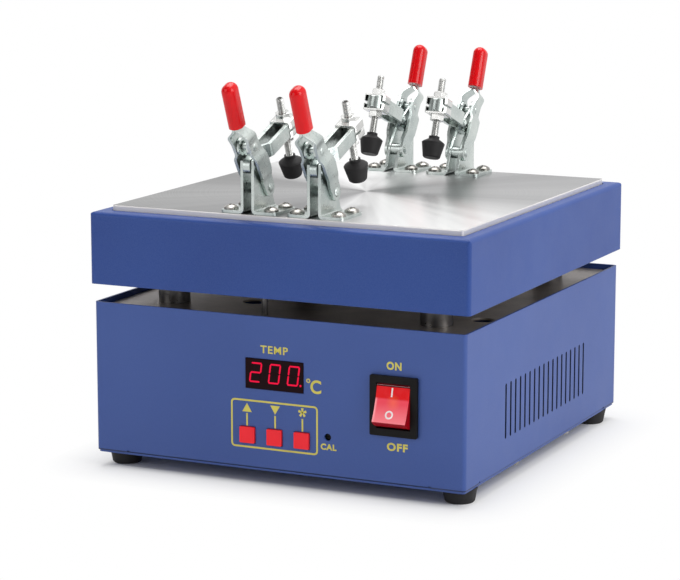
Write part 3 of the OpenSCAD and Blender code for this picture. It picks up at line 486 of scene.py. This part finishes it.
def word(text, bold, where, spaced=1.0):
    bpy.ops.object.text_add(location=(0, 0, 0), rotation=(math.pi / 2, 0, 0))
    made = onBench()
    made.data.body = text
    made.data.offset = bold
    made.data.space_character = spaced
    made.data.extrude = 0.1
    made.data.resolution_u = 6
    return fitInto(settle(toMesh(made)), *panelBox(*where))


words = {
    "temp_mark": ("TEMP", 0.02, (-8.0, 7.8, 61.0, 65.0)),
    "on_mark": ("ON", 0.038, (63.0, 71.2, 58.8, 63.0)),
    "off_mark": ("OFF", 0.038, (63.3, 74.8, 17.1, 21.3)),
    "cal_mark": ("CAL", 0.04, (26.3, 35.2, 13.7, 17.0)),
}
letterGap = 1.14
for name, (text, bold, where) in words.items():
    finishPiece(join([word(text, bold, where, letterGap)], name), "yellow", "housing")


def thicken(made, name, face):  # gives a flat print its ink, and sets it on its face
    bpy.ops.object.mode_set(mode="EDIT")
    bpy.ops.mesh.select_all(action="SELECT")
    bpy.ops.mesh.extrude_region_move(TRANSFORM_OT_translate={"value": (0, 2 * panel["ink"], 0)})
    bpy.ops.mesh.select_all(action="SELECT")
    bpy.ops.mesh.normals_make_consistent(inside=False)
    bpy.ops.object.mode_set(mode="OBJECT")
    made.data.transform(Matrix.Translation((0, face - panel["ink"], panel["foot"])))
    made.name = name
    return made


def outline(points, name, face=panel["face"]):  # a printed shape, from its corners in millimetres
    bpy.ops.mesh.primitive_circle_add(vertices=len(points), radius=1, fill_type="NGON")
    made = onBench()
    for vertex, (x, z) in zip(made.data.vertices, points):
        vertex.co = (x * mm, 0, z * mm)
    return thicken(made, name, face)


def ring(points, inner, name, face=panel["face"]):  # a printed line that closes on itself, from both its edges
    n = len(points)
    bpy.ops.mesh.primitive_circle_add(vertices=2 * n, radius=1, fill_type="NOTHING")
    made = onBench()
    bpy.ops.object.mode_set(mode="EDIT")
    bpy.ops.mesh.delete(type="EDGE_FACE")
    bpy.ops.object.mode_set(mode="OBJECT")
    for vertex, (x, z) in zip(made.data.vertices, points + inner):
        vertex.co = (x * mm, 0, z * mm)
    shape = bmesh.new()
    shape.from_mesh(made.data)
    shape.verts.ensure_lookup_table()
    for i in range(n):
        j = (i + 1) % n
        shape.faces.new([shape.verts[k] for k in (i, j, n + j, n + i)])
    shape.to_mesh(made.data)
    shape.free()
    return thicken(made, name, face)


def arc(x, z, r, start, end, steps):
    turns = [math.radians(start + (end - start) * i / steps) for i in range(steps + 1)]
    return [(x + r * math.cos(a), z + r * math.sin(a)) for a in turns]


def rounded(x0, x1, z0, z1, r, steps=6):
    return (arc(x1 - r, z1 - r, r, 0, 90, steps) + arc(x0 + r, z1 - r, r, 90, 180, steps)
            + arc(x0 + r, z0 + r, r, 180, 270, steps) + arc(x1 - r, z0 + r, r, 270, 360, steps))


marks = {
    "frame": (-25.2, 24.7, 10.3, 35.9), "line": 0.95, "corner": 2.2,
    "buttons": {"up": -15.9, "down": 0.3, "set": 15.9},
    "stem": (22.0, 28.6), "stemLine": 0.9, "arrow": (29.3, 33.9, 2.75),
    "star": 31.9,  # its height, then one of its spokes as places along and across
    "spoke": ((0, -0.3), (1.38, -0.55), (2.3, -0.7), (2.4, 0), (2.3, 0.7), (1.38, 0.55), (0, 0.3)),
    "letter": (20.5, 26.6, 42.4, 49.6), "letterBold": 0.025, "degree": (19.3, 48.9, 1.15, 0.6),
}


def buttonFrame():
    x0, x1, z0, z1 = marks["frame"]
    t, r = marks["line"], marks["corner"]
    inner = rounded(x0 + t, x1 - t, z0 + t, z1 - t, r - t)
    return ring(rounded(x0, x1, z0, z1, r), inner, "button_frame_mark")


def degreeMark():
    x, z, outer, inner = marks["degree"]
    circle = ring(arc(x, z, outer, 0, 345, 23), arc(x, z, inner, 0, 345, 23), "o")
    return join([word("C", marks["letterBold"], marks["letter"]), circle], "degree_mark")


def spokes(x, z):
    made = []
    for turn in range(5):
        a = math.radians(90 + 72 * turn)
        points = [(x + u * math.cos(a) - v * math.sin(a), z + u * math.sin(a) + v * math.cos(a))
                  for u, v in marks["spoke"]]
        made.append(outline(points, "spoke"))
    return made


def buttonMark(name, x):
    w, (stemLow, stemHigh) = marks["stemLine"] / 2, marks["stem"]
    low, high, half = marks["arrow"]
    made = [outline([(x - w, stemLow), (x + w, stemLow), (x + w, stemHigh), (x - w, stemHigh)], "stem")]
    if name == "up":
        made.append(outline([(x - half, low), (x + half, low), (x, high)], "arrow"))
    if name == "down":
        made.append(outline([(x, low), (x + half, high), (x - half, high)], "arrow"))
    if name == "set":
        made += spokes(x, marks["star"])
    return join(made, name + "_mark")


finishPiece(buttonFrame(), "yellow", "housing")
finishPiece(degreeMark(), "yellow", "housing")
for name, x in marks["buttons"].items():
    finishPiece(buttonMark(name, x), "yellow", "housing")
print("panel marks printed")


# figures behind the window

readout = {
    "centre": (-10.6, 0.2, 11.0), "foot": 45.3, "high": 10.6, "wide": 6.5, "bar": 0.85, "gap": 0.3,
    "slant": 0.13, "face": -0.11233, "figures": ("2", "0", "0"), "point": (15.0, 45.8, 0.6),
}
# each bar's place across and up, as shares, and whether it stands upright
segments = {"a": (0, 1, False), "b": (1, 0.5, True), "c": (1, -0.5, True), "d": (0, -1, False),
            "e": (-1, -0.5, True), "f": (-1, 0.5, True), "g": (0, 0, False)}
lit = {"2": "abged", "0": "abcdef"}


def segment(x, z, upright):  # one bar with pointed ends, its slant given by its height
    wide, high, bar = readout["wide"], readout["high"] / 2, readout["bar"]
    reach = (high - bar if upright else wide - bar) / 2 - readout["gap"]
    ends = [(-reach - bar / 2, 0), (-reach, -bar / 2), (reach, -bar / 2),
            (reach + bar / 2, 0), (reach, bar / 2), (-reach, bar / 2)]
    if upright:
        ends = [(-b, a) for a, b in ends]
    return [(x + a + (z + b) * readout["slant"], z + b) for a, b in ends]


bars = {"led": [], "unlit": []}
for centre, figure in zip(readout["centre"], readout["figures"]):
    for name, (across, up, upright) in segments.items():
        x = across * (readout["wide"] - readout["bar"]) / 2
        z = up * (readout["high"] - readout["bar"]) / 2
        middle = readout["foot"] + readout["high"] / 2
        points = [(centre + px, middle + pz) for px, pz in segment(x, z, upright)]
        bars["led" if name in lit[figure] else "unlit"].append(outline(points, "bar", readout["face"]))
bars["led"].append(outline(arc(*readout["point"], 0, 330, 11), "point", readout["face"]))
for finish, pieces in bars.items():
    finishPiece(join(pieces, finish + "_segments"), finish, "housing")
print("readout lit")


# marks on the rocker's dished face

def onRocker(x, up):  # a point of the face, from its place along the face, in metres
    sag = math.sqrt(rocker["dish"] ** 2 - up ** 2) - math.sqrt(rocker["dish"] ** 2 - rocker["lip"] ** 2)
    lean = Matrix.Rotation(math.radians(-rocker["lean"]), 3, "X")
    at = lean @ Vector((x, sag - rocker["face"], up))
    return Vector((rocker["x"] + at.x, rocker["axis"][0] + at.y, rocker["axis"][1] + at.z)) * mm


def layOnRocker(piece):  # bends a flat mark, drawn round the axis, to the face
    for vertex in piece.data.vertices:
        x, y, z = vertex.co / mm
        vertex.co = onRocker(x, z - panel["foot"] / mm) + Vector((0, y * mm, 0))
    return piece


def rockerBar():
    half, low, high = rocker["bar"]
    steps = [low + (high - low) * i / rocker["barSteps"] for i in range(rocker["barSteps"] + 1)]
    right, left = rocker["marks"] + half, rocker["marks"] - half
    return outline([(right, z) for z in steps] + [(left, z) for z in reversed(steps)], "bar", 0.0)


def rockerCircle():
    outer, inner, down = rocker["o"]
    edges = [arc(rocker["marks"], -down, r, 0, 350, 35) for r in (outer, inner)]
    return ring(*edges, "o", 0.0)


finishPiece(join([layOnRocker(rockerBar()), layOnRocker(rockerCircle())], "rocker_marks"), "white", "rocker")
print("rocker marked")


# threaded spindles, in place of the plain ones

thread = {
    "pitch": 0.7, "crest": 2.0, "root": 1.62, "low": -21.3, "high": 16.2, "chamfer": 0.5,
    "flank": (0.12, 0.44, 0.56, 0.88),  # shares of the pitch: root to crest, and back
    "steps": 32, "sharp": 28, "pivot": (2.6, 24.9), "tilt": 20.5, "reach": 43.4, "lift": 1.0,
}
clamps = {"reach": 101.5, "shift": -1.4, "spacing": 38.0, "top": 139.7}


def clampPlace(name):  # from a clamp's own frame to the part's, in metres
    side = -1 if name.endswith("left") else 1
    rear = name.startswith("rear")
    across = clamps["shift"] + side * clamps["spacing"] / 2
    where = (across, (1 if rear else -1) * clamps["reach"], clamps["top"])
    return Matrix.Translation(Vector(where) * mm) @ Matrix.Rotation(math.pi if rear else 0, 4, "Z")


def armPlace():
    y, z = thread["pivot"]
    return (Matrix.Translation((0, y * mm, z * mm)) @ Matrix.Rotation(math.radians(thread["tilt"]), 4, "X")
            @ Matrix.Translation((0, thread["reach"] * mm, thread["lift"] * mm)))


def threadedRod():
    p, crest, root = (thread[k] * mm for k in ("pitch", "crest", "root"))
    bpy.ops.mesh.primitive_plane_add(size=1)
    rod = onBench()
    bpy.ops.object.mode_set(mode="EDIT")
    bpy.ops.mesh.delete(type="VERT")
    bpy.ops.object.mode_set(mode="OBJECT")
    rise, top, fall, foot = [p * share for share in thread["flank"]]
    flank = [(root, 0), (root, rise), (crest, top), (crest, fall), (root, foot), (root, p)]
    rod.data.from_pydata([(r, 0, z) for r, z in flank], [(i, i + 1) for i in range(len(flank) - 1)], [])
    turns = rod.modifiers.new("turns", "SCREW")
    turns.angle, turns.screw_offset = 2 * math.pi, p
    turns.steps = turns.render_steps = thread["steps"]
    turns.iterations = round((thread["high"] - thread["low"]) / thread["pitch"]) + 3
    turns.use_merge_vertices, turns.merge_threshold = True, 1e-7
    pick(rod)
    bpy.ops.object.modifier_apply(modifier="turns")
    rod.data.transform(Matrix.Translation((0, 0, thread["low"] * mm - 1.2 * p)))
    bpy.ops.object.mode_set(mode="EDIT")
    bpy.ops.mesh.select_all(action="SELECT")
    bpy.ops.mesh.remove_doubles(threshold=1e-6)
    for z, side in ((thread["low"], -1), (thread["high"], 1)):
        bpy.ops.mesh.select_all(action="SELECT")
        bpy.ops.mesh.bisect(plane_co=(0, 0, z * mm), plane_no=(0, 0, side), use_fill=True, clear_outer=True)
    bpy.ops.mesh.select_all(action="SELECT")
    bpy.ops.mesh.normals_make_consistent(inside=False)
    bpy.ops.object.mode_set(mode="OBJECT")
    for vertex in rod.data.vertices:  # lead-in cones at both ends
        end = min(vertex.co.z / mm - thread["low"], thread["high"] - vertex.co.z / mm)
        r = math.hypot(vertex.co.x, vertex.co.y)
        most = (thread["crest"] - thread["chamfer"] + end) * mm
        if r > most:
            vertex.co.x *= most / r
            vertex.co.y *= most / r
    return rod


rod = threadedRod()
for name in clampNames:
    made = twin(rod, name + "_thread", clampPlace(name) @ armPlace())
    for face in made.data.polygons:
        face.use_smooth = True
    made.data.set_sharp_from_angle(angle=math.radians(thread["sharp"]))
    finishPiece(made, "hardware", name + "_press")
    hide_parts(name + "_spindle")
bpy.data.objects.remove(rod)
print("spindles threaded")


# floor and studio

floor = {"half": 6.0, "foot": (0.099, 0.105), "shadow": 0.04, "matt": (0.86, 0.86, 0.87, 1)}
sky = {"light": 0.32, "shade": 0.9, "side": (-0.42, -0.91), "fade": (0.1, 0.75)}
pureWhite = (1, 1, 1, 1)


def floorFinish():  # takes the part's shadow near its foot, and turns to the backdrop's white further out
    f = Finish("pale floor")
    eye, gloss, through = f.rays()
    matt = f.node("ShaderNodeBsdfDiffuse", {}, {"Color": floor["matt"]})
    white = f.node("ShaderNodeEmission", {}, {"Color": pureWhite, "Strength": 1.0})
    share = f.maths("MAXIMUM", eye, f.maths("MAXIMUM", gloss, through))
    out = [f.maths("MAXIMUM", f.maths("ABSOLUTE", place) - foot, 0.0)
           for place, foot in zip(f.parts(f.place()), floor["foot"])]
    away = f.spread((out[0] * out[0] + out[1] * out[1]) ** 0.5, 0.0, floor["shadow"]) ** 0.5
    mixed = f.node("ShaderNodeMixShader", {}, {0: share * away, 1: matt, 2: white})
    f.node("ShaderNodeOutputMaterial", {}, {"Surface": mixed})
    return f.material


def studio():  # white to the eye and in reflections of the sides, darker in those of the front
    world = bpy.data.worlds.new("studio")
    bpy.context.scene.world = world
    world.use_nodes = True
    f = Finish("studio", world.node_tree)
    eye, gloss, through = f.rays()
    x, y, z = f.parts(f.node("ShaderNodeTexCoord", {}, {}, "Generated"))
    front = f.spread(x * sky["side"][0] + y * sky["side"][1], *sky["fade"])
    seen = f.maths("MAXIMUM", eye, through)
    strength = seen + (1.0 - front * sky["shade"]) * gloss + (1.0 - seen - gloss) * sky["light"]
    back = f.node("ShaderNodeBackground", {}, {"Color": pureWhite, "Strength": strength})
    f.node("ShaderNodeOutputWorld", {}, {"Surface": back})


bpy.ops.mesh.primitive_plane_add(size=2 * floor["half"], location=(0, 0, 0))
ground = onBench()
ground.name = "floor"
ground.data.materials.append(floorFinish())
studio()
print("floor and studio set")
